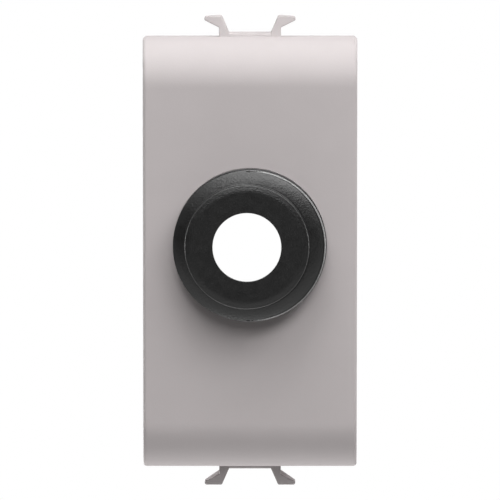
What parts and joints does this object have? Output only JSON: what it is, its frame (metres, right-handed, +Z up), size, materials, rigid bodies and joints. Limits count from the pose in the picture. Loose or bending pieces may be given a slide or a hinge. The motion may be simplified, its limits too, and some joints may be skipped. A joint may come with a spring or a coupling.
{
  "type": "cable outlet module",
  "caption": "Snap-in front module with a two-tier cable bush, hooked claws at top and bottom, and a screwed cord grip behind the front.",
  "frame": {"origin": "middle of the module, in the plane where the claws catch the support", "axes": "+X right as seen by the user, +Y back into the wall box, +Z up"},
  "size_m": [0.0224, 0.0178, 0.0492],
  "materials": {
    "body_plastic": "satin, fine moulded grain",
    "bush_rubber": "satin",
    "clamp_plastic": "matt",
    "screw_steel": "zinc plated"
  },
  "bodies": {
    "root": {"module_body": "body_plastic", "cable_bush": "bush_rubber", "clamp_bar": "clamp_plastic", "clamp_screws": "screw_steel"}
  },
  "joints": []
}
